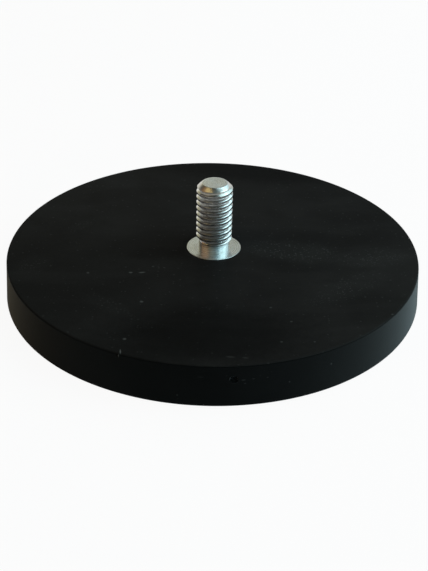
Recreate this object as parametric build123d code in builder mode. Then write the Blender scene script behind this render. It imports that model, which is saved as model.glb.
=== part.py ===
"""Rubber-coated pot magnet, 88 mm across, with an M8 stud on its back.

+Z runs along the stud. The origin is the centre of the magnetic face, which
holds on to steel. Rubber is moulded round a steel plate that carries two rings
of flat magnets below it and the stud above it. All sizes are in millimetres.
"""

import os
from math import radians, sin, tan

from build123d import *

# Rubber jacket
base_diameter = 88.0        # across the magnetic face, to its sharp corner
wall_draft = 4.5            # degrees that the side wall leans in towards the back face
side_cover = 2.0            # rubber outside the plate, at the magnetic face
face_cover = 1.0            # rubber under the magnets
back_cover = 2.5            # rubber over the plate, and so the height of the stud's boss
base_edge = 0.3             # broken edge of the magnetic face
back_edge = 0.35            # broken edge of the back face

# Gate mark left on the side wall by the moulding
gate_diameter = 1.4
gate_depth = 0.4
gate_taper = 20.0           # degrees
gate_height = 5.6           # above the magnetic face
gate_angle = -85.0          # degrees about +Z, from +X

# Magnets, flat discs in two rings
magnet_diameter = 14.0
magnet_thickness = 3.0
inner_count = 6
outer_count = 12
magnet_spacing = 1.5        # gap between neighbours in the inner ring
ring_spacing = 1.5          # gap between the two rings

# Steel plate
plate_thickness = 2.0

# Threaded stud, M8 coarse: the plain shank has the thread's major diameter
thread_diameter = 8.0
stud_length = 15.0          # above the back face
tip_chamfer = 1.35
neck_depth = 0.9            # thread relief, on the radius
neck_length = 2.6           # from the back face to the start of the thread
boss_diameter = 11.6
spigot_diameter = 8.0       # through the plate
rivet_depth = 1.0           # countersunk rivet head, flush with the plate's underside
rivet_angle = 90.0          # degrees across the countersink

# Sizes that follow from them
base_radius = base_diameter / 2
magnet_top = face_cover + magnet_thickness
plate_top = magnet_top + plate_thickness
jacket_height = plate_top + back_cover
back_radius = base_radius - jacket_height * tan(radians(wall_draft))
plate_radius = base_radius - side_cover
magnet_radius = magnet_diameter / 2
inner_ring_radius = (magnet_diameter + magnet_spacing) / 2 / sin(radians(180 / inner_count))
outer_ring_radius = inner_ring_radius + magnet_diameter + ring_spacing
thread_radius = thread_diameter / 2
neck_radius = thread_radius - neck_depth
boss_radius = boss_diameter / 2
spigot_radius = spigot_diameter / 2
rivet_radius = spigot_radius + rivet_depth * tan(radians(rivet_angle / 2))
stud_top = jacket_height + stud_length

os.makedirs("parts", exist_ok=True)

# The stud is one turned piece, so one half section makes all of it. The relief neck
# opens to the thread at 45 degrees, and the tip is chamfered at 45 degrees
with BuildPart() as threaded_stud:
    with BuildSketch(Plane.XZ):
        with BuildLine():
            Polyline(
                (0, magnet_top),
                (rivet_radius, magnet_top),
                (spigot_radius, magnet_top + rivet_depth),
                (spigot_radius, plate_top),
                (boss_radius, plate_top),
                (boss_radius, jacket_height),
                (neck_radius, jacket_height),
                (neck_radius, jacket_height + neck_length - neck_depth),
                (thread_radius, jacket_height + neck_length),
                (thread_radius, stud_top - tip_chamfer),
                (thread_radius - tip_chamfer, stud_top),
                (0, stud_top),
                close=True,
            )
        make_face()
    revolve(axis=Axis.Z)
threaded_stud.part.label = "threaded_stud"

# The plate, with the countersunk hole that the stud is riveted into
with BuildPart() as steel_plate:
    with BuildSketch(Plane.XY.offset(magnet_top)):
        Circle(plate_radius)
    extrude(amount=plate_thickness)
    with Locations(Plane(origin=(0, 0, magnet_top), z_dir=(0, 0, -1))):
        CounterSinkHole(radius=spigot_radius, counter_sink_radius=rivet_radius, counter_sink_angle=rivet_angle)
steel_plate.part.label = "steel_plate"

# The magnets sit on the plate's underside, in two rings turned half a step each
rings = (("inner", inner_ring_radius, inner_count), ("outer", outer_ring_radius, outer_count))
magnets = []
for ring_name, ring_radius, count in rings:
    for number in range(count):
        with BuildPart() as magnet:
            with BuildSketch(Plane.XY.offset(face_cover)):
                with PolarLocations(ring_radius, 1, start_angle=(number + 0.5) * 360 / count):
                    Circle(magnet_radius)
            extrude(amount=magnet_thickness)
        magnet.part.label = f"magnet_{ring_name}_{number + 1}"
        magnets.append(magnet.part)

# The rubber is moulded round the metal. The gate mark faces square out of its leaning wall
gate_radius = base_radius - gate_height * tan(radians(wall_draft))
gate_plane = Plane(
    origin=Vector(gate_radius, 0, gate_height).rotate(Axis.Z, gate_angle),
    z_dir=Vector(1, 0, tan(radians(wall_draft))).rotate(Axis.Z, gate_angle),
)

with BuildPart() as rubber_jacket:
    with BuildSketch(Plane.XZ):
        with BuildLine():
            Polyline(
                (0, 0),
                (base_radius, 0),
                (back_radius, jacket_height),
                (0, jacket_height),
                close=True,
            )
        make_face()
    revolve(axis=Axis.Z)
    rims = rubber_jacket.edges().filter_by(GeomType.CIRCLE).sort_by(Axis.Z)
    chamfer(rims[0], base_edge)
    chamfer(rims[-1], back_edge)

    # everything inside it leaves its own shape in the rubber
    for metal in (steel_plate.part, threaded_stud.part, *magnets):
        add(metal, mode=Mode.SUBTRACT)

    # gate mark, a shallow tapered pit square to the leaning wall
    with BuildSketch(gate_plane):
        Circle(gate_diameter / 2)
    extrude(amount=-gate_depth, taper=gate_taper, mode=Mode.SUBTRACT)
rubber_jacket.part.label = "rubber_jacket"

for piece in (rubber_jacket.part, steel_plate.part, threaded_stud.part, *magnets):
    export_step(piece, f"parts/{piece.label}.step")
    print(f"{piece.label:16} {piece.volume:10.1f} mm3")
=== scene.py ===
from math import atan2, cos, degrees, hypot, pi, radians, sin, tan

import bmesh
import bpy
from mathutils import Matrix, Vector, noise


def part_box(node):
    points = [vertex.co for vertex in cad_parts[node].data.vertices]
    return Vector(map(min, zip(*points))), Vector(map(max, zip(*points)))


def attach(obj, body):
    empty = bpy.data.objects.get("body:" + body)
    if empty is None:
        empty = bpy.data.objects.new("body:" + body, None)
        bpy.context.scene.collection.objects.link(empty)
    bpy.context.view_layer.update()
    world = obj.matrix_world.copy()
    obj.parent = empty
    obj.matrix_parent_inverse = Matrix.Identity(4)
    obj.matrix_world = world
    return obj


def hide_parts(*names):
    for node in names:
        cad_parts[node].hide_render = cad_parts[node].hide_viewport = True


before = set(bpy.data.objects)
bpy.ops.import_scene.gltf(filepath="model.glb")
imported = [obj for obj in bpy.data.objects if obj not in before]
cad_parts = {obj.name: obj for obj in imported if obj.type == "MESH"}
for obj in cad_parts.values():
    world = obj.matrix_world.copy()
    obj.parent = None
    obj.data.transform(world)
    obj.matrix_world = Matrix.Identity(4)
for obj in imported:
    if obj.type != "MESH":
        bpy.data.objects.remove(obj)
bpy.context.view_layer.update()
mm = 0.001
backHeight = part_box("rubber_jacket")[1].z        # the face that the stud stands on
print("frame loaded, back face at", round(backHeight, 5))


def newGroup(name, inputs, outputs):
    tree = bpy.data.node_groups.new(name, "ShaderNodeTree")
    for label, kind, value in inputs:
        socket = tree.interface.new_socket(label, in_out="INPUT", socket_type="NodeSocket" + kind)
        if value is not None:
            socket.default_value = value
    for label, kind in outputs:
        tree.interface.new_socket(label, in_out="OUTPUT", socket_type="NodeSocket" + kind)
    given = tree.nodes.new("NodeGroupInput")
    result = tree.nodes.new("NodeGroupOutput")
    return tree, given.outputs, result.inputs


def newNode(tree, kind, **settings):
    node = tree.nodes.new("ShaderNode" + kind)
    for name, value in settings.items():
        setattr(node, name, value)
    return node


def feed(tree, socket, value):               # a link where value is a socket, otherwise a setting
    if isinstance(value, bpy.types.NodeSocket):
        tree.links.new(value, socket)
    else:
        socket.default_value = value


def maths(tree, operation, *values):
    node = newNode(tree, "Math", operation=operation)
    for socket, value in zip(node.inputs, values):
        feed(tree, socket, value)
    return node.outputs[0]


def vectorMaths(tree, operation, *values, output=0):
    node = newNode(tree, "VectorMath", operation=operation)
    for socket, value in zip(node.inputs, values):
        feed(tree, socket, value)
    return node.outputs[output]


def fadeBetween(tree, value, start, end):    # 0 at start, 1 at end, eased
    node = newNode(tree, "MapRange", interpolation_type="SMOOTHSTEP")
    for label, setting in (("Value", value), ("From Min", start), ("From Max", end)):
        feed(tree, node.inputs[label], setting)
    return node.outputs[0]


def blendValue(tree, share, first, second):
    node = newNode(tree, "Mix", data_type="FLOAT")
    for socket, value in zip(node.inputs[0:1] + node.inputs[2:4], (share, first, second)):
        feed(tree, socket, value)
    return node.outputs[0]


def blendColour(tree, share, first, second):
    node = newNode(tree, "Mix", data_type="RGBA")
    for socket, value in zip(node.inputs[0:1] + node.inputs[6:8], (share, first, second)):
        if not isinstance(value, (bpy.types.NodeSocket, float, int)):
            value = (*value, 1)
        feed(tree, socket, value)
    return node.outputs[2]


def placeGroup(tree, group, **inputs):       # a group's inputs, named without their spaces
    node = newNode(tree, "Group", node_tree=group)
    for socket in node.inputs:
        key = socket.name[0].lower() + socket.name[1:].replace(" ", "")
        if key in inputs:
            feed(tree, socket, inputs[key])
    return node.outputs


def newMaterial(name):
    material = bpy.data.materials.new(name)
    material.use_nodes = True
    tree = material.node_tree
    tree.nodes.clear()
    shader = newNode(tree, "BsdfPrincipled")
    output = newNode(tree, "OutputMaterial")
    tree.links.new(shader.outputs[0], output.inputs[0])
    position = newNode(tree, "TexCoord").outputs["Object"]
    return material, tree, shader.inputs, position


def bumpNormal(tree, height, depth):
    bump = newNode(tree, "Bump")
    bump.inputs["Strength"].default_value = 1.0
    bump.inputs["Distance"].default_value = depth
    tree.links.new(height, bump.inputs["Height"])
    return bump.outputs[0]


def smudgeGroup():                           # cloudy patches left by handling
    tree, given, result = newGroup(
        "Handling Smudges",
        [("Position", "Vector", None), ("Scale", "Float", 60.0),
         ("Low", "Float", 0.45), ("High", "Float", 0.65)],
        [("Mask", "Float")])
    cloud = newNode(tree, "TexNoise")
    cloud.inputs["Detail"].default_value = 5.0
    cloud.inputs["Roughness"].default_value = 0.55
    cloud.inputs["Distortion"].default_value = 0.6
    feed(tree, cloud.inputs["Vector"], given["Position"])
    feed(tree, cloud.inputs["Scale"], given["Scale"])
    mask = fadeBetween(tree, cloud.outputs[0], given["Low"], given["High"])
    tree.links.new(mask, result["Mask"])
    return tree


def speckGroup():                            # loose specks, one to a cell, most cells left empty
    tree, given, result = newGroup(
        "Loose Specks",
        [("Position", "Vector", None), ("Scale", "Float", 600.0),
         ("Size", "Float", 0.2), ("Share", "Float", 0.2)],
        [("Mask", "Float")])
    cells = newNode(tree, "TexVoronoi")
    feed(tree, cells.inputs["Vector"], given["Position"])
    feed(tree, cells.inputs["Scale"], given["Scale"])
    draw = newNode(tree, "SeparateColor")
    tree.links.new(cells.outputs["Color"], draw.inputs[0])
    size = maths(tree, "MULTIPLY", given["Size"], draw.outputs["Green"])
    dot = maths(tree, "LESS_THAN", cells.outputs["Distance"], size)
    kept = maths(tree, "LESS_THAN", draw.outputs["Red"], given["Share"])
    tree.links.new(maths(tree, "MULTIPLY", dot, kept), result["Mask"])
    return tree


def markGroup():                             # one mark at a known place, with a ragged edge
    tree, given, result = newGroup(
        "Placed Mark",
        [("Position", "Vector", None), ("Centre", "Vector", None),
         ("Radii", "Vector", (0.001, 0.001, 0.001)), ("Turn", "Float", 0.0),
         ("Hard Edge", "Float", 0.3), ("Raggedness", "Float", 0.3), ("Rag Scale", "Float", 900.0)],
        [("Mask", "Float")])
    rag = newNode(tree, "TexNoise")
    feed(tree, rag.inputs["Vector"], given["Position"])
    feed(tree, rag.inputs["Scale"], given["Rag Scale"])
    turned = newNode(tree, "VectorRotate", rotation_type="Z_AXIS")
    tree.links.new(given["Position"], turned.inputs["Vector"])
    tree.links.new(given["Centre"], turned.inputs["Center"])
    tree.links.new(maths(tree, "MULTIPLY", given["Turn"], -1.0), turned.inputs["Angle"])
    away = vectorMaths(tree, "SUBTRACT", turned.outputs[0], given["Centre"])
    away = vectorMaths(tree, "DIVIDE", away, given["Radii"])
    away = vectorMaths(tree, "LENGTH", away, output=1)
    push = maths(tree, "SUBTRACT", rag.outputs[0], 0.5)
    away = maths(tree, "ADD", away, maths(tree, "MULTIPLY", push, given["Raggedness"]))
    tree.links.new(fadeBetween(tree, away, 1.0, given["Hard Edge"]), result["Mask"])
    return tree


def turningGroup():                          # fine rings left by the lathe tool, about the Z axis
    tree, given, result = newGroup(
        "Turning Marks",
        [("Position", "Vector", None), ("Scale", "Float", 9000.0), ("Waver", "Float", 0.4)],
        [("Height", "Float"), ("Tone", "Float")])
    axes = newNode(tree, "SeparateXYZ")
    tree.links.new(given["Position"], axes.inputs[0])
    flat = newNode(tree, "CombineXYZ")
    tree.links.new(axes.outputs[0], flat.inputs[0])
    tree.links.new(axes.outputs[1], flat.inputs[1])
    radius = vectorMaths(tree, "LENGTH", flat.outputs[0], output=1)
    around = vectorMaths(tree, "NORMALIZE", flat.outputs[0])
    bearing = vectorMaths(tree, "SCALE", around)
    feed(tree, bearing.node.inputs["Scale"], given["Waver"])
    across = newNode(tree, "CombineXYZ")
    feed(tree, across.inputs[0], maths(tree, "MULTIPLY", radius, given["Scale"]))
    feed(tree, across.inputs[2], maths(tree, "MULTIPLY", axes.outputs[2], given["Scale"]))
    rings = newNode(tree, "TexNoise")
    rings.inputs["Scale"].default_value = 1.0
    rings.inputs["Detail"].default_value = 3.0
    rings.inputs["Roughness"].default_value = 0.7
    rest = vectorMaths(tree, "ADD", across.outputs[0], bearing)
    tree.links.new(rest, rings.inputs["Vector"])
    tree.links.new(rings.outputs[0], result["Height"])
    tree.links.new(fadeBetween(tree, rings.outputs[0], 0.35, 0.7), result["Tone"])
    return tree


def grainGroup():                            # the fine skin of a moulded or blasted surface
    tree, given, result = newGroup(
        "Fine Grain",
        [("Position", "Vector", None), ("Scale", "Float", 4000.0), ("Coarse Share", "Float", 0.4)],
        [("Height", "Float")])
    coarseScale = 0.12                       # of the fine grain's
    fine = newNode(tree, "TexNoise")
    fine.inputs["Detail"].default_value = 3.0
    feed(tree, fine.inputs["Vector"], given["Position"])
    feed(tree, fine.inputs["Scale"], given["Scale"])
    coarse = newNode(tree, "TexNoise")
    feed(tree, coarse.inputs["Vector"], given["Position"])
    feed(tree, coarse.inputs["Scale"], maths(tree, "MULTIPLY", given["Scale"], coarseScale))
    height = blendValue(tree, given["Coarse Share"], fine.outputs[0], coarse.outputs[0])
    tree.links.new(height, result["Height"])
    return tree


def scratchGroup():                          # short fine scratches, lying mostly one way
    tree, given, result = newGroup(
        "Fine Scratches",
        [("Position", "Vector", None), ("Scale", "Float", 300.0),
         ("Angle", "Float", 0.5), ("Share", "Float", 0.5)],
        [("Mask", "Float")])
    narrow = 18.0                            # how much longer than wide
    start, fall, edge = 0.78, 0.2, 0.05      # noise level of the lines, its fall with share, edge
    turned = newNode(tree, "VectorRotate", rotation_type="Z_AXIS")
    tree.links.new(given["Position"], turned.inputs["Vector"])
    tree.links.new(given["Angle"], turned.inputs["Angle"])
    drawn = vectorMaths(tree, "MULTIPLY", turned.outputs[0], (1.0, narrow, 1.0))
    lines = newNode(tree, "TexNoise")
    lines.inputs["Detail"].default_value = 2.0
    tree.links.new(drawn, lines.inputs["Vector"])
    feed(tree, lines.inputs["Scale"], given["Scale"])
    limit = maths(tree, "SUBTRACT", start, maths(tree, "MULTIPLY", given["Share"], fall))
    mask = fadeBetween(tree, lines.outputs[0], limit, maths(tree, "ADD", limit, edge))
    tree.links.new(mask, result["Mask"])
    return tree


smudges = smudgeGroup()
specks = speckGroup()
placedMark = markGroup()
turningMarks = turningGroup()
fineGrain = grainGroup()
fineScratches = scratchGroup()
print("shared effects made:", len(bpy.data.node_groups))


# round shapes are given as half sections, with points (distance from the axis, height)
def arcPoints(centre, radius, start, end, steps):
    turns = [radians(start + (end - start) * i / steps) for i in range(steps + 1)]
    return [(centre[0] + radius * cos(a), centre[1] + radius * sin(a)) for a in turns]


def evenSteps(start, end, count):
    return [start + (end - start) * i / count for i in range(count + 1)]


def fullTurn(columns):
    return [2 * pi * i / columns for i in range(columns)]


def addRing(bm, radius, height, angles, shape=None):
    if radius == 0:
        return [bm.verts.new((0, 0, height))] * len(angles)
    ring = []
    for angle in angles:
        r, z = shape(radius, height, angle) if shape else (radius, height)
        ring.append(bm.verts.new((r * cos(angle), r * sin(angle), z)))
    return ring


def joinRings(bm, lower, upper):
    count = len(lower)
    for i in range(count):
        corners = [lower[i], lower[(i + 1) % count], upper[(i + 1) % count], upper[i]]
        corners = list(dict.fromkeys(corners))
        if len(corners) > 2:
            bm.faces.new(corners)


def latheSection(bm, section, angles, shape=None):
    rings = [addRing(bm, r, z, angles, shape) for r, z in section]
    for lower, upper in zip(rings, rings[1:]):
        joinRings(bm, lower, upper)
    return rings


def meshObject(bm, name, finishes):
    bmesh.ops.recalc_face_normals(bm, faces=bm.faces)
    mesh = bpy.data.meshes.new(name)
    bm.to_mesh(mesh)
    bm.free()
    mesh.polygons.foreach_set("use_smooth", [True] * len(mesh.polygons))
    for material in finishes:
        mesh.materials.append(material)
    piece = bpy.data.objects.new(name, mesh)
    bpy.context.scene.collection.objects.link(piece)
    return piece


def finishPiece(bm, name, finishes, replaced, sharpAngle):
    sameSpot = 1e-7                          # points closer than this are one
    bmesh.ops.remove_doubles(bm, verts=bm.verts, dist=sameSpot)
    bmesh.ops.dissolve_degenerate(bm, edges=bm.edges, dist=sameSpot)
    piece = meshObject(bm, name, finishes)
    piece.data.set_sharp_from_angle(angle=radians(sharpAngle))
    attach(piece, "root")
    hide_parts(replaced)
    print(name, "has", len(piece.data.polygons), "faces")


disc = {
    "cornerRadius": 44.0 * mm,       # the magnetic face, to its sharp corner
    "draft": 4.5,                    # degrees that the wall leans in
    "baseRim": 0.3 * mm,
    "backRim": 0.35 * mm,
    "holeRim": 0.12 * mm,            # where the rubber meets the stud's boss
    "columns": 360,
    "pocketColumns": 48,             # round each magnet
    "sharpAngle": 40,
    "ripple": 0.02 * mm,             # the wall isn't quite true
    "rippleScale": 90,
    "base": (0.0104, 0.0091, 0.0084),
    "dust": (0.0208, 0.0181, 0.0167),
    "backRoughness": (0.40, 0.52),   # where clean and where dusty
    "backGloss": 1.05,               # index of refraction, low because the rubber is nearly matt
    "backGrain": 0.03 * mm,
    # painted shade: the wall's colours are about ten times darker than the back's, as if the wall
    # stood in shadow
    "wall": (0.0010, 0.0010, 0.0010),
    "wallDust": (0.0026, 0.0025, 0.0024),
    "wallRoughness": (0.85, 0.93),
    "wallGloss": 1.02,
    "wallGrain": 0.012 * mm,
    "wallSheen": 0.58,
    "wallSheenTint": (1.0, 0.94, 0.92),
    "wallSheenRoughness": 0.40,
    "pale": (0.112, 0.104, 0.095),   # scuffs and loose dust
    "deep": (0.0020, 0.0018, 0.0017),
    "grit": (0.35, 1.7),             # cover of the dust patches, and how much more on each speck
}

gate = {                             # where the rubber was fed in, torn off short
    "angle": radians(-84.8),
    "height": 5.7 * mm,
    "halfWidth": 0.75 * mm,
    "halfHeight": 0.6 * mm,
    "depth": 0.32 * mm,
    "brink": (1.12, 0.3),            # where the pit starts and how far it slopes, in half sizes
    "lip": 0.03 * mm,
    "lipRing": (1.2, 0.22),          # its middle and its breadth to each side, in half sizes
    "edgeTear": ((2500, 0.16), (5000, 0.10)),    # noise scale and strength
    "floorTear": (4000, 0.3),
    "reach": 1.5 * mm,               # to each side, with columns this close
    "step": 0.06 * mm,
    "rise": 1.04 * mm,               # up and down, with so many rings
    "rings": 36,
}

burr = {                             # a sliver of flash left across the back rim
    "angle": radians(-112.6),
    "halfWidth": 0.14 * mm,
    "above": 1.0 * mm,
    "below": 1.0 * mm,
    "height": 0.16 * mm,
    "tear": (3000, 0.4),
    "reach": 0.5 * mm,
    "step": 0.05 * mm,
}


def ease(value):
    value = max(0.0, min(1.0, value))
    return value * value * (3 - 2 * value)


def torn(spot, scale, strength):
    return strength * noise.noise(spot * scale)


def distanceAcross(mark, angle, radius):     # along the wall, from the middle of the mark
    return ((angle - mark["angle"] + pi) % (2 * pi) - pi) * radius


def discColumns():                           # closer at the gate and at the burr
    angles = fullTurn(disc["columns"])
    clear = 0.002                            # radians kept free beside them
    for mark in (gate, burr):
        middle = mark["angle"] % (2 * pi)
        reach = mark["reach"] / disc["cornerRadius"]
        count = round(2 * mark["reach"] / mark["step"])
        angles = [a for a in angles if abs(a - middle) > reach + clear]
        angles += [middle - reach + 2 * reach * i / count for i in range(count + 1)]
    return sorted(angles)


def discShape(radius, height, angle):        # the gate's pit, the burr and a little unevenness
    lean = radians(disc["draft"])
    spot = Vector((radius * cos(angle), radius * sin(angle), height))
    if radius < disc["cornerRadius"] - 3 * mm or height <= 0:
        return radius, height                # only the wall and the edge of the back are shaped
    out = 0.0
    across = distanceAcross(gate, angle, radius)
    up = height - gate["height"]
    if abs(across) < 3 * mm and abs(up) < 2 * mm:
        tear = sum(torn(spot, *pair) for pair in gate["edgeTear"])
        away = hypot(across / gate["halfWidth"], up / gate["halfHeight"]) + tear
        brink, slope = gate["brink"]
        lipMiddle, lipBreadth = gate["lipRing"]
        out -= gate["depth"] * (1 + torn(spot, *gate["floorTear"])) * ease((brink - away) / slope)
        out += gate["lip"] * ease(1 - abs(away - lipMiddle) / lipBreadth)
    across = distanceAcross(burr, angle, radius)
    if abs(across) < 3 * burr["halfWidth"]:
        rim = disc["cornerRadius"] - backHeight * tan(lean)
        onBack = backHeight - height < 0.05 * mm
        along = (rim - radius) if onBack else -(backHeight - height)
        reach = burr["above"] if along > 0 else burr["below"]
        crown = ease(1 - abs(across) / burr["halfWidth"]) * ease(1 - abs(along) / reach)
        crown *= burr["height"] * (1 + torn(spot, *burr["tear"]))
        if along > 0:
            return radius, height + crown * 0.5
        out += crown
    wander = torn(spot, disc["rippleScale"], disc["ripple"])
    return radius + (out + wander) * cos(lean), height


def discSection():
    lean = radians(disc["draft"])
    low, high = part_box("steel_plate")
    hole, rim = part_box("threaded_stud")[1].x, disc["holeRim"]
    outer = disc["cornerRadius"]
    section = [(high.x, low.z), (high.x, high.z), (hole, high.z), (hole, backHeight - rim)]
    section += arcPoints((hole + rim, backHeight - rim), rim, 180, 90, 4)[1:]
    # over the back, closer where the burr lies
    section += [(r, backHeight) for r in evenSteps(7 * mm, outer - 3 * mm, 14)]
    section += [(r, backHeight) for r in evenSteps(outer - 2.6 * mm, outer - 1.2 * mm, 10)]
    rim = disc["backRim"]
    centre = (outer - (rim + (backHeight - rim) * sin(lean)) / cos(lean), backHeight - rim)
    section += arcPoints(centre, rim, 90, disc["draft"], 8)
    # down the wall, closer at the gate
    levels = evenSteps(backHeight - rim - 0.1 * mm, gate["height"] + 1.1 * mm, 8)
    levels += evenSteps(gate["height"] + gate["rise"], gate["height"] - gate["rise"], gate["rings"])
    levels += evenSteps(gate["height"] - 1.4 * mm, 0.6 * mm, 8)
    section += [(outer - z * tan(lean), z) for z in levels]
    rim = disc["baseRim"]
    centre = (outer - rim * (1 + sin(lean)) / cos(lean), rim)
    section += arcPoints(centre, rim, disc["draft"], -90, 8)
    section += [(r, 0) for r in evenSteps(outer - 2 * mm, 0, 8)]
    return section


# the floor of the plate's pocket, with a hole for each magnet
def addMagnetPockets(bm, mouth, level):
    edges = [bm.edges.get((mouth[i - 1], mouth[i])) for i in range(len(mouth))]
    turns = fullTurn(disc["pocketColumns"])
    for name in sorted(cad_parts):
        if not name.startswith("magnet_"):
            continue
        low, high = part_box(name)
        centre = (low + high) / 2
        radius = (high.x - low.x) / 2
        rings = [[bm.verts.new((centre.x + radius * cos(a), centre.y + radius * sin(a), z))
                  for a in turns] for z in (level, low.z)]
        joinRings(bm, *rings)
        bm.faces.new(rings[1])
        edges += [bm.edges.get((rings[0][i - 1], rings[0][i])) for i in range(len(turns))]
    bmesh.ops.triangle_fill(bm, use_beauty=True, use_dissolve=False, edges=edges)


discMarks = {
    # on the back: x, y, half length, half width in mm, turn in degrees, strength
    "backSpecks": [
        (-14.5, -11.4, 0.9, 0.35, 10, 0.5), (-16.8, -11.5, 0.5, 0.35, 0, 0.5),
        (-25.4, -11.9, 0.4, 0.4, 0, 0.35), (-13.8, -22.5, 0.5, 0.4, 0, 0.45),
        (-16.0, -35.3, 0.45, 0.4, 0, 0.45), (-12.4, -8.9, 0.35, 0.25, 30, 0.3),
        (-11.2, -9.4, 0.25, 0.2, 0, 0.25), (-10.1, -9.3, 0.3, 0.2, -20, 0.3),
        (11.2, -23.8, 0.35, 0.3, 0, 0.3), (14.9, -28.6, 0.35, 0.3, 0, 0.3),
        (12.7, -35.4, 0.35, 0.3, 0, 0.3), (18.8, -35.2, 0.3, 0.3, 0, 0.3),
        (34.5, -25.5, 0.35, 0.3, 0, 0.3), (3.3, -40.4, 1.1, 0.35, -4, 0.15),
        # the last entry lightens the burr's sliver across the rim
        (6.0, -40.6, 0.8, 0.3, -8, 0.15), (-16.4, -39.3, 0.9, 0.18, 96, 0.6)],
    "backPatches": [                 # broad and faint, dust and finger marks
        (-37.0, -9.0, 6.0, 4.5, 60, 0.06), (-28.8, 8.8, 7.0, 2.4, 50, 0.06),
        (17.0, -1.5, 14.0, 6.0, -8, 0.15), (34.0, -3.5, 11.0, 5.5, 8, 0.10),
        (27.0, -16.0, 14.0, 5.0, 38, 0.09), (30.0, 8.0, 8.0, 3.0, 20, 0.04),
        (-20.0, -24.0, 9.0, 3.0, -35, 0.05), (6.0, 26.0, 13.0, 3.0, 5, 0.02)],
    "backShades": [                  # broad darker patches, mostly at the front and the far side
        (0.0, -33.0, 27.0, 14.0, 0, 0.55), (8.0, 39.0, 34.0, 9.0, -6, 0.6),
        (-12.0, -3.5, 9.0, 4.0, 0, 0.25)],
    # on the wall: bearing in degrees, height, half length, half height in mm, strength
    "wallSpecks": [
        (-82.5, 5.5, 0.50, 0.10, 0.35), (-80.1, 5.6, 0.35, 0.09, 0.30),
        (-82.1, 4.8, 0.30, 0.09, 0.30), (-76.7, 5.6, 0.30, 0.10, 0.25),
        (-59.9, 5.4, 0.25, 0.22, 0.35), (-71.2, 3.9, 0.22, 0.20, 0.30),
        (-98.0, 2.1, 0.25, 0.20, 0.30), (-118.8, 0.5, 0.25, 0.20, 0.30),
        # the last entry lightens the burr's sliver down the wall
        (-92.6, 6.2, 0.9, 0.25, 0.06), (-112.6, 8.2, 0.15, 0.45, 0.6)],
}


def addBackMarks(tree, position, colour, name, paint, cover=1.0):
    for x, y, length, width, turn, strength in discMarks[name]:
        centre = (x * mm, y * mm, backHeight)
        spot = placeGroup(tree, placedMark, position=position, centre=centre,
                          radii=(length * mm, width * mm, 1 * mm), turn=radians(turn))[0]
        share = maths(tree, "MULTIPLY", spot, maths(tree, "MULTIPLY", cover, strength))
        colour = blendColour(tree, share, colour, paint)
    return colour


def addWallMarks(tree, position, colour):
    for bearing, height, length, up, strength in discMarks["wallSpecks"]:
        radius = disc["cornerRadius"] - height * mm * tan(radians(disc["draft"]))
        centre = (radius * cos(radians(bearing)), radius * sin(radians(bearing)), height * mm)
        spot = placeGroup(tree, placedMark, position=position, centre=centre,
                          radii=(length * mm, 1 * mm, up * mm), turn=radians(bearing + 90))[0]
        share = maths(tree, "MULTIPLY", spot, strength)
        colour = blendColour(tree, share, colour, disc["pale"])
    return colour


def rubberFinish():                          # back and magnetic faces, dusty from handling
    material, tree, shader, position = newMaterial("rubber")
    clouds = placeGroup(tree, smudges, position=position, scale=38.0, low=0.38, high=0.72)[0]
    wiped = vectorMaths(tree, "MULTIPLY", position, (0.5, 1.6, 1.0))
    streaks = placeGroup(tree, smudges, position=wiped, scale=55.0, low=0.4, high=0.75)[0]
    haze = maths(tree, "MULTIPLY", maths(tree, "ADD", clouds, streaks), 0.5)
    colour = blendColour(tree, haze, disc["base"], disc["dust"])
    fine = placeGroup(tree, specks, position=position, scale=1500.0, size=0.35, share=0.18)[0]
    colour = blendColour(tree, maths(tree, "MULTIPLY", fine, 0.12), colour, disc["pale"])
    grit = placeGroup(tree, specks, position=position, scale=2600.0, size=0.5, share=0.45)[0]
    grit = maths(tree, "ADD", maths(tree, "MULTIPLY", grit, disc["grit"][1]), disc["grit"][0])
    colour = addBackMarks(tree, position, colour, "backShades", disc["deep"])
    colour = addBackMarks(tree, position, colour, "backPatches", disc["pale"], grit)
    colour = addBackMarks(tree, position, colour, "backSpecks", disc["pale"])
    tree.links.new(colour, shader["Base Color"])
    tree.links.new(blendValue(tree, haze, *disc["backRoughness"]), shader["Roughness"])
    shader["IOR"].default_value = disc["backGloss"]
    height = placeGroup(tree, fineGrain, position=position, scale=3500.0, coarseShare=0.4)[0]
    tree.links.new(bumpNormal(tree, height, disc["backGrain"]), shader["Normal"])
    return material


def wallFinish():                            # the side wall, smoother from the mould; its colours are darkened as painted shade
    material, tree, shader, position = newMaterial("rubberWall")
    clouds = placeGroup(tree, smudges, position=position, scale=70.0, low=0.4, high=0.75)[0]
    colour = blendColour(tree, clouds, disc["wall"], disc["wallDust"])
    fine = placeGroup(tree, specks, position=position, scale=1500.0, size=0.3, share=0.08)[0]
    colour = blendColour(tree, maths(tree, "MULTIPLY", fine, 0.05), colour, disc["pale"])
    tree.links.new(addWallMarks(tree, position, colour), shader["Base Color"])
    tree.links.new(blendValue(tree, clouds, *disc["wallRoughness"]), shader["Roughness"])
    shader["IOR"].default_value = disc["wallGloss"]
    shader["Sheen Weight"].default_value = disc["wallSheen"]
    shader["Sheen Roughness"].default_value = disc["wallSheenRoughness"]
    shader["Sheen Tint"].default_value = (*disc["wallSheenTint"], 1.0)
    height = placeGroup(tree, fineGrain, position=position, scale=3000.0, coarseShare=0.3)[0]
    tree.links.new(bumpNormal(tree, height, disc["wallGrain"]), shader["Normal"])
    return material


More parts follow.
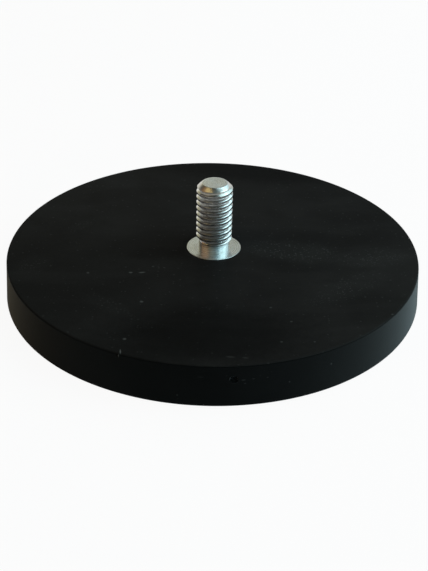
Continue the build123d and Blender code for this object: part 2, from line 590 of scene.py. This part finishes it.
def makeRubberDisc():
    bm = bmesh.new()
    rings = latheSection(bm, discSection(), discColumns(), discShape)
    addMagnetPockets(bm, rings[0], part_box("steel_plate")[0].z)
    for face in bm.faces:
        middle = face.calc_center_median()
        outside = hypot(middle.x, middle.y) > disc["cornerRadius"] - 2 * mm
        if outside and 0.1 * mm < middle.z < backHeight - 0.12 * mm:
            face.material_index = 1          # the wall's finish
    finishPiece(bm, "rubberDisc", [rubberFinish(), wallFinish()],
                "rubber_jacket", disc["sharpAngle"])


makeRubberDisc()


stud = {
    "pitch": 1.25 * mm,
    "crestRadius": 3.76 * mm,
    "pitchRadius": 3.55 * mm,        # where ridge and groove are equally wide
    "rootRadius": 3.23 * mm,
    "flankLean": 30.0,               # degrees, half the angle between two flanks
    "crestRound": 0.03 * mm,
    "rootRound": 0.03 * mm,
    "firstCrest": -0.13 * mm,        # crest height above the back face, at the +X side
    "neckRadius": 3.18 * mm,
    "neckLength": 2.0 * mm,          # from the back face to the foot of the thread
    "startSlope": 2.5,               # how steeply the thread rises from the neck
    "bossGap": 0.05 * mm,            # between the boss and the rubber
    "bossEdge": 0.03 * mm,
    "spigotRadius": 4.0 * mm,
    "rivetRadius": 5.0 * mm,
    "tipRadius": 2.65 * mm,
    "tipLength": 1.11 * mm,
    "tipBulge": 0.05,                # the tip's chamfer is a little rounded
    "tipEdge": 0.2 * mm,
    "columns": 160,
    "sharpAngle": 50,
    "nick": 0.02 * mm,               # small dents all over the thread
    "nickScale": 2.3,
    "turnedRoughness": (0.24, 0.33),
    "rolledRoughness": (0.19, 0.26),         # the thread is smoother, from the rolling dies
    "chamferRoughness": (0.29, 0.38),        # the tip's chamfer is duller and its colour darker
    "chamferStain": 0.55,
    "smudgeStain": 0.5,
    "rolledFoot": 0.6 * mm,                  # under the thread, where its finish fades in
    "rolledTop": (1.0 * mm, 1.4 * mm),       # and below the tip, from none to all
    "chamferTop": (0.03 * mm, 0.15 * mm),    # the same for the chamfer's finish
    "chamferFoot": (1.6 * mm, 1.4 * mm),
    "turningDepth": 0.012 * mm,
    "colour": (0.64, 0.65, 0.63),
    "stain": (0.45, 0.43, 0.37),
}
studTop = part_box("threaded_stud")[1].z
threadFoot = backHeight + stud["neckLength"]


# one pitch, from crest to crest, as (height above the crest, radius)
def threadProfile():
    lean = radians(stud["flankLean"])
    bend = pi / 2 - lean
    quarter = stud["pitch"] / 4
    crest, root = stud["crestRound"], stud["rootRound"]
    shoulder = quarter - (stud["crestRadius"] - stud["pitchRadius"]) * tan(lean)
    shoulder -= crest * tan(bend / 2)
    valley = quarter + (stud["pitchRadius"] - stud["rootRadius"]) * tan(lean)
    valley += root * tan(bend / 2)
    turns = evenSteps(0, bend, 3)
    over = [(shoulder + crest * sin(a), stud["crestRadius"] - crest + crest * cos(a))
            for a in turns]
    under = [(valley - root * sin(a), stud["rootRadius"] + root - root * cos(a))
             for a in reversed(turns)]
    # a point near each end of the flank keeps the shading of its middle flat
    flank = [tuple(a + (b - a) * share for a, b in zip(over[-1], under[0]))
             for share in (0.05, 0.95)]
    half = [(shoulder * 0.9, stud["crestRadius"])] + over + flank + under
    return half + [(stud["pitch"] - z, r) for z, r in reversed(half)]


def threadLimit(height):                     # the radius that tip and neck leave to the thread
    down = (studTop - height) / stud["tipLength"]
    bulge = stud["tipBulge"] * sin(pi * min(down, 1))
    tip = stud["tipRadius"] + (down + bulge) * (stud["crestRadius"] - stud["tipRadius"])
    up = height - threadFoot
    return min(tip, stud["neckRadius"] + max(0, up * stud["startSlope"]))


def addThread(bm, angles, low, high):
    profile = threadProfile()
    rows = len(profile)
    start = backHeight + stud["firstCrest"]
    start += ((low - start) // stud["pitch"] - 1) * stud["pitch"]
    turns = int((high - start) / stud["pitch"]) + 2
    grid = []
    for angle in angles:
        column = []
        for turn in range(turns):
            for rise, r in profile:
                z = start + (turn + angle / (2 * pi)) * stud["pitch"] + rise
                z = max(low, min(high, z))
                spot = Vector((cos(angle) * 4, sin(angle) * 4, z / mm))  # in mm, near the crests
                r -= stud["nick"] * max(0.0, noise.noise(spot * stud["nickScale"]) - 0.1)
                r = min(r, threadLimit(z))
                column.append(bm.verts.new((r * cos(angle), r * sin(angle), z)))
        grid.append(column)
    for i, here in enumerate(grid):
        there = grid[(i + 1) % len(grid)]
        step = rows if i == len(grid) - 1 else 0     # at the seam the next column is a turn lower
        for j in range(len(here) - 1 - step):
            bm.faces.new((here[j], there[j + step], there[j + step + 1], here[j + 1]))


# 1 inside a band of height; foot and top each say from where to where it fades in
def heightBand(tree, height, foot, top):
    rise = fadeBetween(tree, height, *foot)
    return maths(tree, "MULTIPLY", rise, fadeBetween(tree, height, *top))


def belowTip(name):
    return [studTop - depth for depth in stud[name]]


def zincFinish():
    material, tree, shader, position = newMaterial("zincPlatedSteel")
    axes = newNode(tree, "SeparateXYZ")
    tree.links.new(position, axes.inputs[0])
    height = axes.outputs[2]
    foot = (threadFoot - stud["rolledFoot"], threadFoot)
    rolled = heightBand(tree, height, foot, belowTip("rolledTop"))
    chamfer = heightBand(tree, height, belowTip("chamferFoot"), belowTip("chamferTop"))
    marks = placeGroup(tree, turningMarks, position=position, scale=9000.0, waver=0.5)
    stains = placeGroup(tree, smudges, position=position, scale=420.0, low=0.45, high=0.75)[0]
    dull = maths(tree, "MAXIMUM", maths(tree, "MULTIPLY", stains, stud["smudgeStain"]),
                 maths(tree, "MULTIPLY", chamfer, stud["chamferStain"]))
    tree.links.new(blendColour(tree, dull, stud["colour"], stud["stain"]), shader["Base Color"])
    shader["Metallic"].default_value = 1.0
    turnedSkin, rolledSkin, chamferSkin = (
        blendValue(tree, marks[1], *stud[name])
        for name in ("turnedRoughness", "rolledRoughness", "chamferRoughness"))
    skin = blendValue(tree, chamfer, turnedSkin, chamferSkin)
    tree.links.new(blendValue(tree, rolled, skin, rolledSkin), shader["Roughness"])
    shader["Anisotropic"].default_value = 0.4
    shader["Anisotropic Rotation"].default_value = 0.25
    tangent = newNode(tree, "Tangent", direction_type="RADIAL", axis="Z")
    tree.links.new(tangent.outputs[0], shader["Tangent"])
    tree.links.new(bumpNormal(tree, marks[0], stud["turningDepth"]), shader["Normal"])
    return material


def makeThreadedStud():
    bm = bmesh.new()
    angles = fullTurn(stud["columns"])
    low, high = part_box("threaded_stud")
    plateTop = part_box("steel_plate")[1].z
    boss, edge, neck = high.x - stud["bossGap"], stud["bossEdge"], stud["neckRadius"]
    rivet, spigot = stud["rivetRadius"], stud["spigotRadius"]
    section = [(0, low.z), (rivet, low.z), (spigot, low.z + rivet - spigot), (spigot, plateTop)]
    section += [(boss, plateTop), (boss, backHeight - edge)]
    section += arcPoints((boss - edge, backHeight - edge), edge, 0, 90, 4)[1:]
    section += [(r, backHeight) for r in evenSteps(boss - 3 * edge, neck, 6)]
    section += [(neck, z) for z in evenSteps(backHeight, threadFoot, 5)[1:]]
    latheSection(bm, section, angles)
    corner = stud["tipEdge"]
    taper = (1 + pi * stud["tipBulge"]) * (stud["crestRadius"] - stud["tipRadius"])
    lean = atan2(taper, stud["tipLength"])
    addThread(bm, angles, threadFoot, high.z - corner * (1 - sin(lean)))
    flat = stud["tipRadius"] - corner * tan((pi / 2 - lean) / 2)
    tip = arcPoints((flat, high.z - corner), corner, degrees(lean), 90, 4)
    tip += [(r, high.z) for r in evenSteps(flat * 0.85, 0, 5)]
    latheSection(bm, tip, angles)
    finishPiece(bm, "threadedStud", [zincFinish()],
                "threaded_stud", stud["sharpAngle"])


makeThreadedStud()


inner = {                            # the plate and the magnets, sealed in the rubber
    "plate": (0.52, 0.53, 0.54),
    "plateMark": (0.36, 0.35, 0.33),
    "plateRoughness": (0.45, 0.3),   # plain and along the scratches
    "plateGrain": 0.02 * mm,
    "nickel": (0.70, 0.68, 0.62),
    "nickelDull": (0.52, 0.50, 0.46),
    "nickelRoughness": (0.16, 0.32),
    "nickelGrain": 0.006 * mm,
}


def plateFinish():
    material, tree, shader, position = newMaterial("plateSteel")
    tarnish = placeGroup(tree, smudges, position=position, scale=90.0, low=0.4, high=0.7)[0]
    lines = placeGroup(tree, fineScratches, position=position, scale=260.0, angle=0.4, share=0.6)[0]
    colour = blendColour(tree, tarnish, inner["plate"], inner["plateMark"])
    tree.links.new(colour, shader["Base Color"])
    shader["Metallic"].default_value = 1.0
    tree.links.new(blendValue(tree, lines, *inner["plateRoughness"]), shader["Roughness"])
    height = placeGroup(tree, fineGrain, position=position, scale=2500.0, coarseShare=0.5)[0]
    tree.links.new(bumpNormal(tree, height, inner["plateGrain"]), shader["Normal"])
    return material


def nickelFinish():
    material, tree, shader, position = newMaterial("magnetPlating")
    dull = placeGroup(tree, smudges, position=position, scale=150.0, low=0.5, high=0.8)[0]
    lines = placeGroup(tree, fineScratches, position=position, scale=500.0, angle=1.1, share=0.5)[0]
    colour = blendColour(tree, dull, inner["nickel"], inner["nickelDull"])
    tree.links.new(colour, shader["Base Color"])
    shader["Metallic"].default_value = 1.0
    worn = maths(tree, "MAXIMUM", dull, lines)
    tree.links.new(blendValue(tree, worn, *inner["nickelRoughness"]), shader["Roughness"])
    height = placeGroup(tree, fineGrain, position=position, scale=3000.0, coarseShare=0.2)[0]
    tree.links.new(bumpNormal(tree, height, inner["nickelGrain"]), shader["Normal"])
    return material


plateMaterial = plateFinish()
nickelMaterial = nickelFinish()
for name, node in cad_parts.items():
    if name == "steel_plate" or name.startswith("magnet_"):
        node.data.materials.clear()
        node.data.materials.append(plateMaterial if name == "steel_plate" else nickelMaterial)
print("plate and magnets dressed")


studio = {
    "floorRadius": 1.2,
    "floorHeight": -0.02 * mm,       # a hair under the magnetic face, so that they never coincide
    "coveRadius": 0.25,
    "wallHeight": 0.5,
    "columns": 96,
    "whiteHeight": 0.22,             # above this the backdrop falls off to grey
    "topStrength": 0.25,
    "floorSeen": (1.0, 0.87, 0.85),  # its colour to the camera, white under the cool light
    "floor": (0.20, 0.17, 0.14),     # to all other rays, so that it throws up little light
    "floorRoughness": 0.9,
    "whiteShare": 0.93,              # of the floor's own white, the rest keeps the shadow
    "worldColour": (0.03, 0.03, 0.03),
    "boxDistance": 0.8,              # of each soft box, from the foot of the stud
}

softBoxes = {            # bearing and rise from the stud in degrees, width, height, level, colour
    "windowRight": (-18, 27, 0.75, 0.53, 2.65, (0.57, 0.87, 1.0)),
    "windowEdge": (-57, 32, 0.38, 0.45, 0.65, (0.30, 0.76, 1.0)),
    "windowLow": (-22, 9, 1.0, 0.19, 3.4, (0.52, 0.88, 1.0)),
    "windowBack": (30, 42, 0.65, 0.62, 2.1, (0.60, 0.88, 1.0)),
    "skyBox": (18, 67, 0.46, 0.4, 2.0, (0.66, 0.93, 1.0)),
    "backBox": (72, 24, 0.6, 0.45, 0.36, (0.84, 0.97, 0.96)),
    "leftBox": (114, 24, 0.62, 0.45, 0.42, (1.0, 0.92, 0.60)),
    "brownBox": (-165, 33, 0.85, 0.46, 0.40, (1.0, 0.52, 0.22)),
    "frontBox": (-90, 32, 0.6, 0.45, 0.25, (0.62, 0.94, 1.0)),
    "roomLamp": (-147, 56, 0.62, 0.17, 1.75, (1.0, 0.77, 0.34)),
}


def bearingVector(azimuth, rise):
    a, e = radians(azimuth), radians(rise)
    return Vector((cos(a) * cos(e), sin(a) * cos(e), sin(e)))


def addSoftBox(name, azimuth, rise, width, height, level, colour):
    lamp = bpy.data.lights.new(name, "AREA")
    lamp.shape = "RECTANGLE"
    lamp.size, lamp.size_y = width, height
    lamp.energy = level * pi * lamp.size * lamp.size_y
    lamp.color = colour
    holder = bpy.data.objects.new(name, lamp)
    towards = bearingVector(azimuth, rise)
    holder.location = Vector((0, 0, backHeight)) + towards * studio["boxDistance"]
    holder.rotation_euler = towards.to_track_quat("Z", "Y").to_euler()
    holder.visible_camera = False
    bpy.context.scene.collection.objects.link(holder)


def floorFinish():                           # white to the camera and in reflections, with a shadow
    material, tree, shader, position = newMaterial("paleFloor")
    shader["Roughness"].default_value = studio["floorRoughness"]
    glow = newNode(tree, "Emission")
    rays = newNode(tree, "LightPath").outputs
    paint = blendColour(tree, rays["Is Camera Ray"], studio["floor"], studio["floorSeen"])
    tree.links.new(paint, shader["Base Color"])
    seen = maths(tree, "MAXIMUM", rays["Is Camera Ray"], rays["Is Glossy Ray"])
    seen = maths(tree, "MAXIMUM", seen, rays["Is Transmission Ray"])
    mix = newNode(tree, "MixShader")
    axes = newNode(tree, "SeparateXYZ")
    tree.links.new(position, axes.inputs[0])
    fall = fadeBetween(tree, axes.outputs[2], studio["wallHeight"], studio["whiteHeight"])
    strength = blendValue(tree, fall, studio["topStrength"], 1.0)
    tree.links.new(strength, glow.inputs["Strength"])
    share = maths(tree, "MULTIPLY", seen, studio["whiteShare"])
    tree.links.new(share, mix.inputs[0])
    tree.links.new(tree.nodes["Principled BSDF"].outputs[0], mix.inputs[1])
    tree.links.new(glow.outputs[0], mix.inputs[2])
    tree.links.new(mix.outputs[0], tree.nodes["Material Output"].inputs[0])
    return material


def makeFloor():
    bm = bmesh.new()
    radius, cove, level = studio["floorRadius"], studio["coveRadius"], studio["floorHeight"]
    section = [(0, level), (radius, level)]
    section += arcPoints((radius, level + cove), cove, -90, 0, 16)[1:]
    section += [(radius + cove, studio["wallHeight"])]
    latheSection(bm, section, fullTurn(studio["columns"]))
    floor = meshObject(bm, "studioFloor", [floorFinish()])


camera = {
    "picture": (428, 571),
    "axisPixel": (232, 285.5),       # where the lens points
    "aimPixel": (213.8, 246.5),      # where the middle of the back face lands
    "focal": 982.2,                  # in pixels
    "distance": 209.9 * mm,          # from the middle of the back face
    "azimuth": -90,
    "rise": 29.07,
    "roll": 1.0,
}


def makeCamera():
    width, height = camera["picture"]
    focal = camera["focal"]
    right = camera["aimPixel"][0] - camera["axisPixel"][0]
    down = camera["aimPixel"][1] - camera["axisPixel"][1]
    towards = bearingVector(camera["azimuth"], camera["rise"])
    look = towards.to_track_quat("Z", "Y").to_matrix()
    look = look @ Matrix.Rotation(radians(camera["roll"]), 3, "Z")
    look = look @ Matrix.Rotation(atan2(down, hypot(focal, right)), 3, "X")
    look = look @ Matrix.Rotation(atan2(right, focal), 3, "Y")
    lens = bpy.data.cameras.new("sceneCamera")
    lens.sensor_fit = "VERTICAL"
    lens.sensor_height = 36
    lens.lens = focal * lens.sensor_height / height
    lens.shift_x = (width / 2 - camera["axisPixel"][0]) / height
    lens.clip_start = 0.01
    holder = bpy.data.objects.new("sceneCamera", lens)
    holder.matrix_world = look.to_4x4()
    holder.location = Vector((0, 0, backHeight)) + towards * camera["distance"]
    bpy.context.scene.collection.objects.link(holder)
    bpy.context.scene.camera = holder


makeFloor()
for boxName, box in softBoxes.items():
    addSoftBox(boxName, *box)
world = bpy.data.worlds.new("studioWorld")
world.use_nodes = True
world.node_tree.nodes["Background"].inputs[0].default_value = (*studio["worldColour"], 1)
bpy.context.scene.world = world
makeCamera()
bpy.context.scene.view_settings.view_transform = "Standard"
print("floor, light and camera set")
